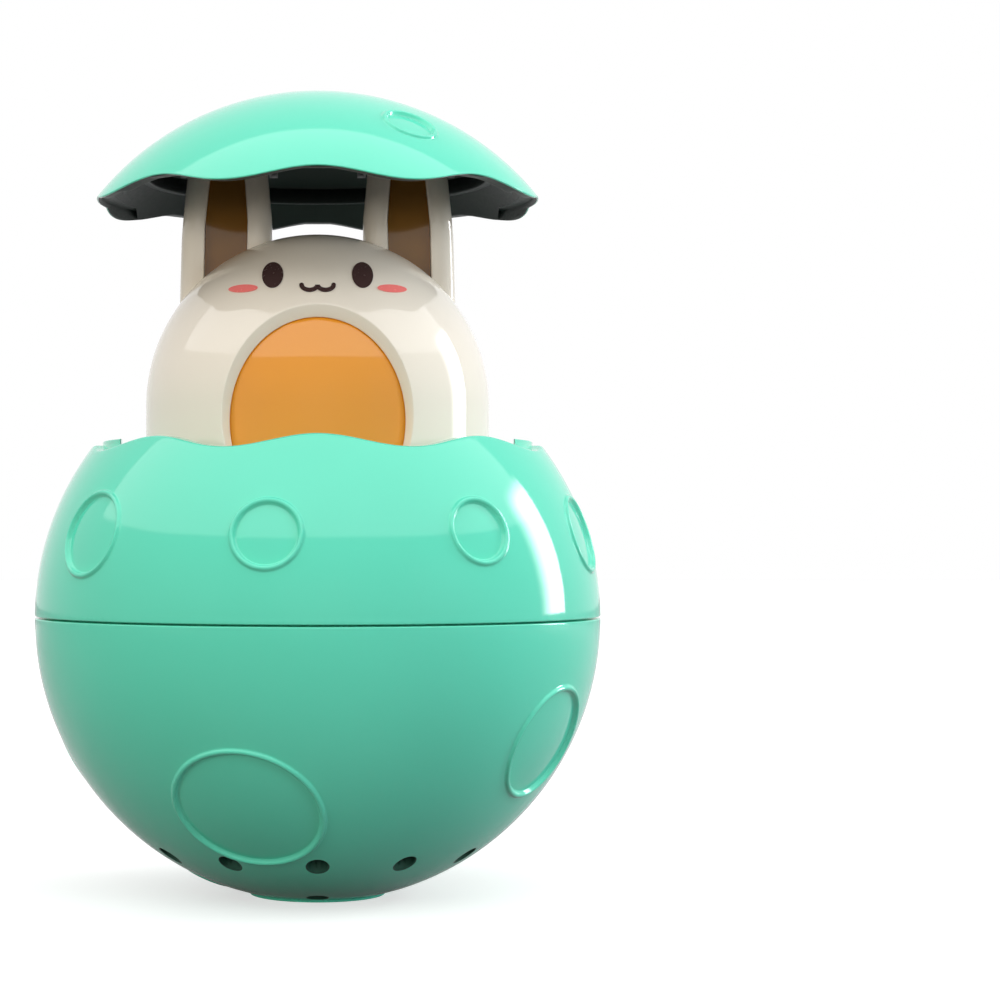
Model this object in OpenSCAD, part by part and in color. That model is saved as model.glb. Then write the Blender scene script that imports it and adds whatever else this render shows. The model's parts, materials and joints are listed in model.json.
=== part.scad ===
// Floating egg bath toy: a mint ball in two halves, and a white rabbit that lifts the lid on its ears.
// Heights are measured from the seam between the two halves; every part is then set on the foot.

/* [Egg] */
// Outer diameter of the egg
egg_d = 100; // [94:1:120]
// Wall of the two halves and of the lid
egg_wall = 2.2; // [1.6:0.1:2.8]
// Diameter of the flat foot under the egg
foot_d = 24; // [12:1:26]
// How far the foot stands out of the ball at its edge
foot_rise = 0.45; // [0.3:0.05:1.2]
// Gap between the two halves at the seam
seam_gap = 0.3; // [0.2:0.05:0.6]

/* [Wavy split] */
// Mean height of the wavy split line above the seam
split_h = 30.1; // [27:0.1:33]
// Height of a wave from its middle to its crest
wave_a = 1.05; // [0.4:0.05:1.6]
// Turn around the egg that one wave takes, in degrees
wave_deg = 44.4; // [36:0.2:50]
// Height of the level rim at the two sides above the mean split line
side_rise = 0.1; // [0:0.05:0.4]
// Distance from the middle to the start of the tongue at each side
tongue_x = 33.6; // [31:0.1:35]
// Height of a tongue's top above the mean split line
tongue_rise = 0.9; // [0.5:0.1:1.1]
// How far a tongue stands in from the rim's outer edge
tongue_in = 1.8; // [1.7:0.05:2.2]
// Thickness of a tongue
tongue_t = 1.4; // [1:0.1:1.8]
// Gap between a tongue and the lid
tongue_gap = 0.3; // [0.2:0.05:0.4]
// Gap between the lid and the rim when the lid is shut
lid_gap = 0.6; // [0.2:0.05:1]

/* [Crater rings] */
// Thickness of the raised bead around a crater
bead_d = 0.9; // [0.6:0.1:1.4]
// Depth of a crater's floor under the egg's surface
crater_sink = 0.35; // [0.1:0.05:0.6]

/* [Drain holes] */
// Diameter of a drain hole
drain_d = 3.5; // [2:0.1:5]
// Diameter of the circle of outer drain holes
drain_ring_d = 58.4; // [54:0.2:64]
// Number of outer drain holes
drain_count = 12; // [6:1:16]
// Diameter of the circle of inner drain holes
drain_inner_d = 29.6; // [28:0.2:40]
// Number of inner drain holes
drain_inner_count = 6; // [3:1:8]

/* [Twist closure] */
// Height of the lower half's spigot above the seam
spigot_h = 6.5; // [5:0.5:9]
// Wall of the spigot
spigot_wall = 2; // [1.5:0.1:3]
// Gap between the spigot and the upper half
spigot_gap = 0.35; // [0.2:0.05:0.6]
// Diameter of a locking peg in the upper half
peg_d = 2.4; // [1.8:0.1:3]
// Gap between a peg and its slot
peg_gap = 0.3; // [0.2:0.05:0.5]
// Number of pegs
peg_count = 4; // [3:1:6]
// Turn that frees the pegs, in degrees
twist = 25; // [15:1:40]

/* [Guide cage] */
// Height of the deck's underside above the seam
deck_h = 15; // [13:0.5:17]
// Thickness of the deck
deck_t = 2; // [1.5:0.1:3]
// Gap between the deck's edge and the upper half
deck_gap = 0.4; // [0.2:0.1:0.8]
// Wall of the sleeve around the rabbit
sleeve_wall = 2; // [1.5:0.1:2.5]
// How far the sleeve's top stays under the rim's troughs
sleeve_drop = 1.5; // [0.5:0.1:4]
// Gap between the sleeve and the rabbit
slide_gap = 0.5; // [0.3:0.05:0.8]
// Width of a guide rail
rail_w = 4; // [3:0.5:7]
// Thickness of a guide rail
rail_t = 2.5; // [2:0.1:3]
// Gap between a rail and the notch that runs on it
rail_gap = 0.35; // [0.3:0.05:0.6]
// Diameter of a water hole in the deck
deck_hole_d = 5; // [3:0.5:6]

/* [Rabbit] */
// Diameter of the rabbit's body
rabbit_d = 61; // [56:0.5:63]
// Height of the rabbit from the float's base to the top of its head
rabbit_h = 53.2; // [48:0.2:58]
// Wall of the rabbit's white shell
rabbit_wall = 2; // [1.6:0.1:2.6]
// Width of the belly window
belly_w = 29.6; // [20:0.1:36]
// Height of the belly window
belly_tall = 34.8; // [24:0.2:35]
// Height of the belly window's middle above the float's base
belly_z = 19.1; // [18:0.1:20]

/* [Ears] */
// Distance from the middle to an ear's centre
ear_x = 16.9; // [15:0.1:18]
// How far an ear leans in at its top
ear_lean = 1.0; // [0:0.1:2]
// Width of an ear at its foot
ear_w = 18; // [15:0.1:19]
// Width of an ear a little above the head
ear_mid_w = 16.1; // [13:0.1:17]
// Width of an ear at the lid
ear_top_w = 13.2; // [11:0.1:14]
// Depth of an ear from front to back
ear_d = 9.5; // [8:0.1:11]
// How far an ear's front face lies ahead of the rabbit's middle
ear_front = 2; // [0:0.1:4]
// Radius of an ear's upright edges
ear_round = 3; // [1.5:0.1:3.5]
// Width of the orange inlay
inlay_w = 7.4; // [5:0.1:9]
// Rise of the inlay's round top above its straight sides
inlay_round = 1.4; // [0.8:0.1:3.6]
// Thickness of the orange inlay
inlay_t = 1.8; // [1.2:0.1:2.2]
// How far the inlay lies behind the ear's front face
inlay_sink = 1.2; // [0.6:0.1:1.8]
// Gap around an inlay
inlay_gap = 0.1; // [0.05:0.05:0.2]

/* [Float] */
// Wall of the orange core
core_wall = 1.8; // [1.4:0.1:2.4]
// Gap between the core and the white shell
core_gap = 0.2; // [0.1:0.05:0.4]
// Thickness of the float's base
base_t = 2.5; // [2:0.1:3.5]
// How far the base's rim stands out past the rabbit's body
stop_lap = 3.5; // [2.5:0.1:4]
// Gap between the base's rim and the deck when the rabbit is up
stop_gap = 0.3; // [0.2:0.05:0.6]
// Room left around the base's rim in the lower half when the rabbit is down
drop_room = 2.5; // [1:0.1:4]
// Cord diameter of the O-ring
seal_d = 1.6; // [1.2:0.1:2]
// Height of the spigot that carries the O-ring
plug_h = 6; // [5:0.5:9]
// Wall of that spigot under the O-ring
plug_wall = 1.6; // [1.2:0.1:2.4]
// Gap between that spigot and the core
plug_gap = 0.15; // [0.1:0.05:0.3]

/* [Lid] */
// Height of the inner collar's edge above the mean split line
collar_up = 4.4; // [3:0.1:7]
// Outer diameter of the inner collar
collar_d = 63; // [60:0.5:66]
// Wall of the inner collar
collar_wall = 1.6; // [1.2:0.1:2.4]
// Depth of the sockets that hold the ears
socket_h = 5; // [4:0.5:6]
// Wall of the sockets
socket_wall = 1.5; // [1.2:0.1:2.2]
// Gap between an ear and its socket
socket_gap = 0.2; // [0.1:0.05:0.4]
// Gap between an ear's top and the lid
ear_top_gap = 0.3; // [0.2:0.05:0.6]

/* [Screws] */
// Shank diameter of the screws
screw_d = 2.5; // [2:0.1:3]
// Head diameter of the screws
screw_head_d = 4.6; // [4:0.1:5.4]
// Head height of the screws
screw_head_h = 1.6; // [1.2:0.1:2]
// Length of the screws under the head
screw_len = 9; // [7:0.5:10]
// Radial gap around a shank in its boss
screw_fit = 0.05; // [0.03:0.01:0.1]
// Radial gap around a shank in a through hole
screw_pass = 0.3; // [0.2:0.05:0.4]
// Wall of a screw boss around its hole
boss_wall = 1.6; // [1.2:0.1:2]

/* [Face] */
// Thickness of the printed face
print_t = 0.12; // [0.08:0.02:0.2]
// Height of the eyes under the top of the head
eye_down = 9.1; // [7:0.1:13]
// Distance from the middle to an eye
eye_x = 7.65; // [5:0.05:10]
// Width of an eye
eye_w = 3.65; // [2:0.05:5]
// Height of an eye
eye_tall = 4.95; // [3:0.05:6]
// Height of the cheeks under the top of the head
cheek_down = 11.4; // [9:0.1:15]
// Distance from the middle to a cheek
cheek_x = 12.7; // [10:0.05:15]
// Width of a cheek
cheek_w = 5.1; // [3:0.05:7]
// Height of a cheek
cheek_tall = 1.45; // [0.8:0.05:3]
// Height of the mouth's upper line under the top of the head
mouth_down = 11.1; // [9:0.1:15]
// Width of the mouth
mouth_w = 5.4; // [3:0.1:9]
// Depth of the mouth's two curves
mouth_dip = 0.95; // [0.4:0.05:2]
// Thickness of the mouth's line
mouth_line = 0.8; // [0.3:0.05:1]

/* [Hidden] */
$fn = 96;

mint = "#74dcc4";
white = "#f2eee8";
orange = "#e09a3c";
rubber = "#2b2b2d";
steel = "#b9bcc0";
brown = "#4a3029";
coral = "#ef9a8a";

// Raised rings as [degrees from the front towards +X, latitude in degrees, ring diameter]
lower_rings = [[-17.3, -38.4, 25.2], [58.1, -24.4, 20.1], [128, -36, 24], [-166, -25, 20],
    [-104, -30, 22], [-97, -67, 9.4]];
upper_rings = [[-52.5, 17.3, 14.5], [-9.9, 17.2, 11.4], [33.6, 17.8, 10.9], [72.5, 17.3, 13.2],
    [116, 18, 12.5], [160, 17, 14], [-153, 18, 12], [-103, 17.2, 13]];
lid_rings = [[32.7, 54.7, 9.1], [-128, 70, 11], [-106, 48, 10], [152, 64, 11], [-150, 50, 10],
    [104, 50, 10.5]];

// Cuts run this far past the faces that they cut
past = 1;
// Inner features are buried this deep in the wall that carries them
weld = 0.6;
// Straight steps that draw the wavy split line
wave_steps = 72;
// Steps that draw an oval
oval_steps = 48;

egg_r = egg_d / 2;
in_r = egg_r - egg_wall;
seam_z = sqrt(pow(egg_r, 2) - pow(foot_d / 2, 2)) + foot_rise;
rim_r = sqrt(pow(egg_r, 2) - pow(split_h, 2));
rim_low = split_h - wave_a;
tongue_r = rim_r - tongue_in;
tongue_in_r = tongue_r - tongue_t;
tongue_top = split_h + tongue_rise;

spigot_r = sqrt(pow(in_r, 2) - pow(spigot_h, 2)) - spigot_gap;
slot_h = peg_d + 2 * peg_gap;
peg_z = spigot_h / 2;
slot_deg = asin((peg_d / 2 + peg_gap) / spigot_r);

rabbit_r = rabbit_d / 2;
rabbit_in_r = rabbit_r - rabbit_wall;
base_top = deck_h - stop_gap;
base_low = base_top - base_t;
base_r = rabbit_r + stop_lap;
lift = base_low + sqrt(pow(in_r, 2) - pow(base_r + drop_room, 2));
head_top = base_top + rabbit_h;
dome_z = head_top - rabbit_r;
core_r = rabbit_in_r - core_gap;
core_in_r = core_r - core_wall;
belly_mid = base_top + belly_z;

sleeve_r = rabbit_r + slide_gap;
sleeve_out_r = sleeve_r + sleeve_wall;
sleeve_top = rim_low - sleeve_drop;
deck_top = deck_h + deck_t;
deck_r = sqrt(pow(in_r, 2) - pow(deck_top, 2)) - deck_gap;
rail_in_r = base_r - rail_t / 2;
rail_low = base_low - lift;
rail_angles = [30, 150, 270];
screw_angles = [90, 210, 330];

screw_r = screw_d / 2;
boss_r = screw_r + screw_fit + boss_wall;
pass_r = screw_r + screw_pass;
cage_boss_r = deck_r - boss_r;
deck_hole_r = (sleeve_out_r + deck_r) / 2;

plug_r = core_in_r - plug_gap;
seal_z = base_top + plug_h / 2;
groove_r = core_in_r - seal_d;
plug_in_r = groove_r - plug_wall;
pillar_r = max(boss_r, screw_head_d / 2 + screw_pass + boss_wall / 2);
pillar_x = plug_in_r + weld - pillar_r;
base_boss_z = base_top + plug_h;
base_seat_z = base_low + screw_head_h;
core_boss_top = base_seat_z + screw_len + boss_wall;

ear_mid_z = head_top + ear_d / 4;
ear_back = ear_d - ear_front;
ear_side = ear_x - ear_lean + ear_top_w / 2;
ear_top = lift + sqrt(pow(in_r, 2) - pow(ear_side, 2) - pow(max(ear_front, ear_back), 2)) - ear_top_gap;
tenon_w = ear_w - 4 * rabbit_wall;
tenon_d = ear_d - 2 * rabbit_wall;
inlay_top = ear_top - socket_h;
pocket_d = inlay_sink + inlay_t;
lug_t = boss_wall + screw_head_h / 2;
lug_x = ear_x - ear_lean;
lug_y = ear_back + boss_r;
lug_low = lift + sqrt(pow(in_r, 2) - pow(lug_x, 2) - pow(lug_y, 2)) - screw_len;
lug_top = lug_low + lug_t;

function wave(a) = split_h + wave_a * cos(360 * a / wave_deg);
function split_z(a) = abs(a) < 1.5 * wave_deg ? wave(a) : min(wave(a), split_h + side_rise);
function oval(w, h) = [for (i = [0 : oval_steps - 1])
    [w / 2 * cos(360 * i / oval_steps), h / 2 * sin(360 * i / oval_steps)]];
function ear_w_at(z) = z < ear_mid_z
    ? ear_w + (ear_mid_w - ear_w) * (z - dome_z) / (ear_mid_z - dome_z)
    : ear_mid_w + (ear_top_w - ear_mid_w) * (z - ear_mid_z) / (ear_top - ear_mid_z);
function ear_x_at(z) = ear_x - ear_lean * (z - dome_z) / (ear_top - dome_z);

module on_foot() { translate([0, 0, seam_z]) children(); }

// A ball whose start line lies between the holes, rings and slots
module ball(r) { rotate([0, 0, 10]) sphere(r = r, $fn = 180); }

// Turns +Z to a place on the egg, given from the front towards +X and by latitude
module aim(place) { rotate([0, 0, place[0]]) rotate([90 - place[1], 0, 0]) children(); }

module crater_bead(place) {
    ring_r = place[2] / 2;
    aim(place) translate([0, 0, sqrt(pow(egg_r, 2) - pow(ring_r, 2))])
        rotate_extrude() translate([ring_r, 0]) circle(d = bead_d, $fn = 24);
}

module crater_floor(place) {
    aim(place) difference() {
        cylinder(d = place[2], h = egg_r + past);
        ball(egg_r - crater_sink);
    }
}

// A block that runs from front to back under an outline drawn in the front view
module front_block(depth) {
    rotate([90, 0, 0]) translate([0, 0, -depth / 2]) linear_extrude(depth) children();
}

// The split line, level past the last waves, lifted by a gap and closed far above or far below
module split_outline(gap, far) {
    side_z = split_z(90) + gap;
    polygon(concat(
        [[-egg_d, far], [-egg_d, side_z]],
        [for (i = [0 : wave_steps]) let (a = 180 * i / wave_steps - 90) [rim_r * sin(a), split_z(a) + gap]],
        [[egg_d, side_z], [egg_d, far]]));
}

// The two sides of the egg past a distance from the middle
module sides(x) {
    for (side = [0, 180]) rotate([0, 0, side]) translate([x, -egg_r, 0]) cube([egg_r, egg_d, egg_r]);
}

module tube(r_out, r_in, z_low, z_high) {
    translate([0, 0, z_low]) difference() {
        cylinder(r = r_out, h = z_high - z_low);
        translate([0, 0, -past]) cylinder(r = r_in, h = z_high - z_low + 2 * past);
    }
}

module pole(x, y, r, z_low, z_high) { translate([x, y, z_low]) cylinder(r = r, h = z_high - z_low); }

module screw_form() {
    translate([0, 0, -screw_head_h]) cylinder(d = screw_head_d, h = screw_head_h);
    cylinder(d = screw_d, h = screw_len);
}

// L-shaped slot in the spigot: a closed end, a run of the twist angle and a way out at the top
module peg_slot() {
    slot_in = spigot_r - spigot_wall - past;
    slot_wide = spigot_wall + 2 * past;
    rotate([0, 0, -slot_deg]) rotate_extrude(angle = twist + slot_deg)
        translate([slot_in, peg_z - slot_h / 2]) square([slot_wide, slot_h]);
    rotate([0, 0, twist]) translate([slot_in, -slot_h / 2, peg_z - slot_h / 2])
        cube([slot_wide, slot_h, spigot_h]);
}

module lower_shell() color(mint) on_foot() {
    floor_z = -seam_z + egg_wall;
    difference() {
        union() {
            difference() {
                intersection() {
                    union() {
                        ball(egg_r);
                        pole(0, 0, foot_d / 2, -egg_r, floor_z - egg_wall / 2);
                    }
                    translate([0, 0, -seam_z]) cylinder(r = egg_d, h = seam_z);
                }
                for (place = lower_rings) crater_floor(place);
            }
            for (place = lower_rings) crater_bead(place);
            intersection() {
                translate([0, 0, -spigot_h]) cylinder(r = in_r + weld, h = spigot_h);
                ball(in_r + weld);
            }
            pole(0, 0, spigot_r, -spigot_h, spigot_h);
        }
        intersection() {
            ball(in_r);
            translate([0, 0, floor_z]) cylinder(r = egg_d, h = -floor_z - spigot_h);
        }
        translate([0, 0, -spigot_h - past]) cylinder(r = spigot_r - spigot_wall, h = 2 * spigot_h + 2 * past);
        for (i = [0 : drain_count - 1]) rotate([0, 0, 360 * i / drain_count])
            pole(0, -drain_ring_d / 2, drain_d / 2, -egg_r, -spigot_h - past);
        for (i = [0 : drain_inner_count - 1]) rotate([0, 0, 360 * i / drain_inner_count])
            pole(0, -drain_inner_d / 2, drain_d / 2, -egg_r, -spigot_h - past);
        for (i = [0 : peg_count - 1]) rotate([0, 0, 360 * (i + 0.5) / peg_count]) peg_slot();
    }
}

module upper_shell() color(mint) on_foot() {
    difference() {
        union() {
            difference() {
                ball(egg_r);
                ball(in_r);
                translate([0, 0, -egg_d]) cylinder(r = egg_d, h = egg_d + seam_gap);
                front_block(2 * egg_d) split_outline(0, egg_d);
                for (place = upper_rings) crater_floor(place);
            }
            for (place = upper_rings) crater_bead(place);
            intersection() {
                sides(tongue_x);
                union() {
                    tube(tongue_r, tongue_in_r, rim_low - 2 * weld, tongue_top);
                    intersection() {
                        tube(rim_r, tongue_in_r, rim_low - 2 * weld, rim_low - weld / 4);
                        ball(in_r + weld);
                    }
                }
            }
            intersection() {
                for (a = screw_angles) rotate([0, 0, a]) pole(cage_boss_r, 0, boss_r, deck_top, rim_low);
                ball(in_r + weld);
            }
            for (i = [0 : peg_count - 1]) rotate([0, 0, 360 * (i + 0.5) / peg_count])
                translate([spigot_r - spigot_wall + peg_gap, 0, peg_z]) rotate([0, 90, 0])
                    cylinder(d = peg_d, h = in_r + weld - spigot_r + spigot_wall - peg_gap);
        }
        for (a = screw_angles) rotate([0, 0, a])
            pole(cage_boss_r, 0, screw_r + screw_fit, deck_top - past, deck_h + screw_len + past / 2);
    }
}

module guide_cage() color(mint) on_foot() {
    difference() {
        union() {
            pole(0, 0, sleeve_out_r, deck_h, sleeve_top);
            pole(0, 0, deck_r, deck_h, deck_top);
            for (a = rail_angles) rotate([0, 0, a]) translate([rail_in_r, -rail_w / 2, rail_low])
                cube([rail_t, rail_w, deck_h + deck_t / 2 - rail_low]);
        }
        pole(0, 0, sleeve_r, deck_h - past, sleeve_top + past);
        for (a = screw_angles) rotate([0, 0, a]) {
            pole(cage_boss_r, 0, pass_r, deck_h - past, deck_top + past);
            for (side = [-1, 1]) rotate([0, 0, side * 25])
                pole(deck_hole_r, 0, deck_hole_d / 2, deck_h - past, deck_top + past);
        }
    }
}

module cage_screws() color(steel) on_foot() {
    for (a = screw_angles) rotate([0, 0, a]) translate([cage_boss_r, 0, deck_h]) screw_form();
}

module float_base() color(white) on_foot() {
    difference() {
        union() {
            pole(0, 0, base_r, base_low, base_top);
            tube(plug_r, plug_in_r, base_low + base_t / 2, base_boss_z);
            for (a = screw_angles) rotate([0, 0, a])
                pole(pillar_x, 0, pillar_r, base_low + base_t / 2, base_boss_z);
        }
        tube(plug_r + past, groove_r, seal_z - seal_d / 2, seal_z + seal_d / 2);
        for (a = screw_angles) rotate([0, 0, a]) {
            pole(pillar_x, 0, pass_r, base_low - past, base_boss_z + past);
            pole(pillar_x, 0, screw_head_d / 2 + screw_pass, base_low - past, base_seat_z);
        }
        for (a = rail_angles) rotate([0, 0, a])
            translate([rail_in_r - rail_gap, -rail_w / 2 - rail_gap, base_low - past])
                cube([base_r, rail_w + 2 * rail_gap, base_t + 2 * past]);
    }
}

module float_seal() color(rubber) on_foot() {
    translate([0, 0, seal_z]) rotate_extrude() translate([core_in_r - seal_d / 2, 0])
        circle(d = seal_d - 2 * screw_fit, $fn = 32);
}

module base_screws() color(steel) on_foot() {
    for (a = screw_angles) rotate([0, 0, a]) translate([pillar_x, 0, base_seat_z]) screw_form();
}

// Dome on a straight wall, standing on the float's base
module dome(r) {
    translate([0, 0, dome_z]) ball(r);
    pole(0, 0, r, base_top, dome_z);
}

module below_base() { translate([0, 0, base_top - egg_d]) cylinder(r = egg_d, h = egg_d); }

module float_core() color(orange) on_foot() {
    difference() {
        union() {
            difference() {
                dome(core_r);
                dome(core_in_r);
            }
            intersection() {
                dome(core_in_r + weld);
                for (a = screw_angles) rotate([0, 0, a]) {
                    pole(pillar_x, 0, boss_r, base_boss_z, core_boss_top);
                    translate([pillar_x, -boss_wall / 2, base_boss_z])
                        cube([core_r - pillar_x, boss_wall, core_boss_top - base_boss_z]);
                }
            }
        }
        below_base();
        for (a = screw_angles) rotate([0, 0, a])
            pole(pillar_x, 0, screw_r + screw_fit, base_boss_z - past, base_seat_z + screw_len + past / 2);
    }
}

module rabbit_shell() color(white) on_foot() {
    difference() {
        dome(rabbit_r);
        dome(rabbit_in_r);
        below_base();
        translate([0, -rabbit_r, belly_mid]) front_block(2 * rabbit_r) polygon(oval(belly_w, belly_tall));
        for (side = [-1, 1]) tenon(side, core_gap / 2);
    }
}

// Tongue under an ear that passes through the dome's wall
module tenon(side, grow) {
    translate([side * ear_x - tenon_w / 2 - grow, (ear_back - ear_front) / 2 - tenon_d / 2 - grow, dome_z])
        cube([tenon_w + 2 * grow, tenon_d + 2 * grow, rabbit_r]);
}

module ear_slice(side, z) {
    for (u = [-1, 1]) for (y = [-ear_front + ear_round, ear_back - ear_round])
        translate([side * ear_x_at(z) + u * (ear_w_at(z) / 2 - ear_round), y, z - past / 100])
            cylinder(r = ear_round, h = past / 100, $fn = 32);
}

// Front outline of an inlay: straight sides that narrow a little, and a flat round top
module inlay_outline(side, grow) {
    half = inlay_w / 2 + grow;
    top_half = half * ear_top_w / ear_mid_w;
    arc_z = inlay_top - inlay_round;
    top_x = side * ear_x_at(arc_z);
    foot_x = side * ear_x;
    polygon(concat(
        [[foot_x - half, dome_z], [foot_x + half, dome_z], [side * ear_x_at(ear_mid_z) + half, ear_mid_z]],
        [for (a = [0 : 15 : 180]) [top_x + top_half * cos(a), arc_z + (inlay_round + grow) * sin(a)]],
        [[side * ear_x_at(ear_mid_z) - half, ear_mid_z]]));
}

module ear(side) {
    difference() {
        union() {
            difference() {
                hull() {
                    ear_slice(side, dome_z);
                    ear_slice(side, ear_mid_z);
                    ear_slice(side, ear_top);
                }
                translate([0, 0, dome_z]) ball(rabbit_r);
            }
            difference() {
                intersection() {
                    tenon(side, 0);
                    translate([0, 0, dome_z]) ball(rabbit_r + weld);
                }
                translate([0, 0, dome_z]) ball(rabbit_in_r);
            }
            hull() {
                pole(side * lug_x, lug_y, boss_r, lug_low, lug_top);
                pole(side * lug_x, ear_back - boss_r, boss_r, lug_low, lug_top);
            }
        }
        translate([0, -ear_front, 0]) front_block(2 * pocket_d) inlay_outline(side, inlay_gap);
        pole(side * lug_x, lug_y, pass_r, lug_low - past, lug_top + past);
    }
}

module ear_inlay(side) {
    difference() {
        translate([0, pocket_d - ear_front - inlay_t / 2, 0]) front_block(inlay_t) inlay_outline(side, 0);
        translate([0, 0, dome_z]) ball(rabbit_r + inlay_gap);
    }
}

module left_ear() color(white) on_foot() ear(-1);

module right_ear() color(white) on_foot() ear(1);

module left_ear_inlay() color(orange) on_foot() ear_inlay(-1);

module right_ear_inlay() color(orange) on_foot() ear_inlay(1);

// Walls around an ear's top, open behind for the ear's lug; heights are the raised ones
module ear_socket(side) {
    low = ear_top - socket_h;
    half = ear_w_at(low) / 2 + socket_gap;
    front = ear_front + socket_gap;
    back = ear_back + socket_gap;
    translate([side * ear_x_at(low), 0, low]) difference() {
        translate([-half - socket_wall, -front - socket_wall, 0])
            cube([2 * (half + socket_wall), front + socket_wall + back, egg_r]);
        translate([-half, -front, -past]) cube([2 * half, front + back + past, egg_r + 2 * past]);
    }
}

module lid() color(mint) on_foot() {
    difference() {
        union() {
            translate([0, 0, lift]) difference() {
                ball(egg_r);
                ball(in_r);
                front_block(2 * egg_d) split_outline(lid_gap, -egg_d);
                intersection() {
                    sides(tongue_x - tongue_gap);
                    pole(0, 0, tongue_r + tongue_gap, 0, tongue_top + lid_gap);
                }
                for (place = lid_rings) crater_floor(place);
            }
            translate([0, 0, lift]) for (place = lid_rings) crater_bead(place);
            intersection() {
                translate([0, 0, lift]) ball(in_r + weld);
                union() {
                    tube(collar_d / 2, collar_d / 2 - collar_wall, lift + split_h + collar_up, lift + egg_r);
                    for (side = [-1, 1]) {
                        ear_socket(side);
                        pole(side * lug_x, lug_y, boss_r, lug_top, lift + egg_r);
                    }
                }
            }
        }
        for (side = [-1, 1])
            pole(side * lug_x, lug_y, screw_r + screw_fit, lug_top - past, lug_low + screw_len + past / 2);
    }
}

module lid_screws() color(steel) on_foot() {
    for (side = [-1, 1]) translate([side * lug_x, lug_y, lug_low]) screw_form();
}

// Thin print on the front of the dome, under an outline drawn in the front view
module face_print() {
    intersection() {
        difference() {
            translate([0, 0, dome_z]) ball(rabbit_r + print_t);
            translate([0, 0, dome_z]) ball(rabbit_r);
        }
        translate([0, -rabbit_r, 0]) front_block(2 * rabbit_r) children();
    }
}

module eye(side) {
    face_print() translate([side * eye_x, head_top - eye_down]) polygon(oval(eye_w, eye_tall));
}

module cheek(side) {
    face_print() translate([side * cheek_x, head_top - cheek_down]) polygon(oval(cheek_w, cheek_tall));
}

module left_eye() color(brown) on_foot() eye(-1);

module right_eye() color(brown) on_foot() eye(1);

module left_cheek() color(coral) on_foot() cheek(-1);

module right_cheek() color(coral) on_foot() cheek(1);

// Two hanging curves side by side, drawn as a line of even thickness with round outer ends
module mouth() color(brown) on_foot() {
    reach = mouth_w / 4;
    half = mouth_line / 2;
    end = [for (b = [30 : 30 : 150]) [half * cos(b), half * sin(b)]];
    face_print() for (side = [-1, 1]) translate([side * reach, head_top - mouth_down])
        polygon(concat(
            [for (a = [180 : 12 : 360]) [(reach + half) * cos(a), (mouth_dip + half) * sin(a)]],
            [for (q = end) if (side > 0) [reach + q[0], q[1]]],
            [for (a = [360 : -12 : 180]) [(reach - half) * cos(a), (mouth_dip - half) * sin(a)]],
            [for (q = end) if (side < 0) [q[0] - reach, q[1]]]));
}

lower_shell();
upper_shell();
guide_cage();
cage_screws();
float_base();
float_seal();
base_screws();
float_core();
rabbit_shell();
left_ear();
right_ear();
left_ear_inlay();
right_ear_inlay();
lid();
lid_screws();
left_eye();
right_eye();
mouth();
left_cheek();
right_cheek();
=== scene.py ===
import json

import bmesh
import bpy
import numpy as np
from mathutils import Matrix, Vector
from mathutils.geometry import delaunay_2d_cdt


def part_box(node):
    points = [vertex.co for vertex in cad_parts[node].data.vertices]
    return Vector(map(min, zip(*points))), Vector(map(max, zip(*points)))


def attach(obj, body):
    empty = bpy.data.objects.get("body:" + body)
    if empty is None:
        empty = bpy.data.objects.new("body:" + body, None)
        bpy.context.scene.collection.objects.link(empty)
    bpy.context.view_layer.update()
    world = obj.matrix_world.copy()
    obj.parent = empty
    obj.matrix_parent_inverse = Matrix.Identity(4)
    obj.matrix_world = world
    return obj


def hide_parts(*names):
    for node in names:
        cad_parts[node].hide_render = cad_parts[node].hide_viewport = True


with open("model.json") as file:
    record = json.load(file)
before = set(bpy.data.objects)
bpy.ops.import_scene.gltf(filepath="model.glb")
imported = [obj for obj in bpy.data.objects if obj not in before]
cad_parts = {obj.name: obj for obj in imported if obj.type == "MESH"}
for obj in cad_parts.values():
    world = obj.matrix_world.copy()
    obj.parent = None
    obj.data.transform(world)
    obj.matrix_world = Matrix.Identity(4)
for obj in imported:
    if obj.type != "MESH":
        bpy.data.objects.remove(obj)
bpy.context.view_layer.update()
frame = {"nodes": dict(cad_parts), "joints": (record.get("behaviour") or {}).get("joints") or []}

# Lower half of the egg: one thin mint ABS moulding with a flat foot, raised crater rings and drain holes,
# whose bores are painted a dull dark green as the shade inside them. Its spigot stands up inside the seam,
# where the upper half turns and locks.
# All sizes are in millimetres, and heights are measured from the seam.
seam = frame["joints"][0]["pos_m"][2] * 1000
egg_r, egg_wall = 50.0, 2.2
in_r = egg_r - egg_wall
edge, seam_edge = 0.45, 0.25
foot_r, foot_edge = 12.0, 0.2
spigot_h, spigot_wall, spigot_gap = 6.5, 2.0, 0.35
step_r = (in_r ** 2 - spigot_h ** 2) ** 0.5
spigot_r = step_r - spigot_gap
spigot_in_r = spigot_r - spigot_wall
# Drain holes stand in circles, each with its radius and its number of holes.
drain_r, drain_edge, drain_points = 1.75, 0.25, 36
drain_circles = ((29.2, 12), (14.8, 6))
# A crater ring has an angle past the front and a latitude, in degrees, and a diameter.
bead_r, crater_sink = 0.45, 0.35
rim_reach, rim_step = 3.2 * bead_r, 0.5
lower_rings = ((-17.3, -38.4, 25.2), (58.1, -24.4, 20.1), (128, -36, 24), (-166, -25, 20),
               (-104, -30, 22), (-97, -67, 9.4))
# Scattered points lie this far apart where they show and where they don't, and each fills a cell that is
# this share of its spacing squared.
fine, coarse, cell_share = 1.05, 2.2, 0.87
golden_angle = np.pi * (3 - 5 ** 0.5)
loop_count = 480
loop_turn = np.linspace(0, 2 * np.pi, loop_count, endpoint=False)


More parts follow.
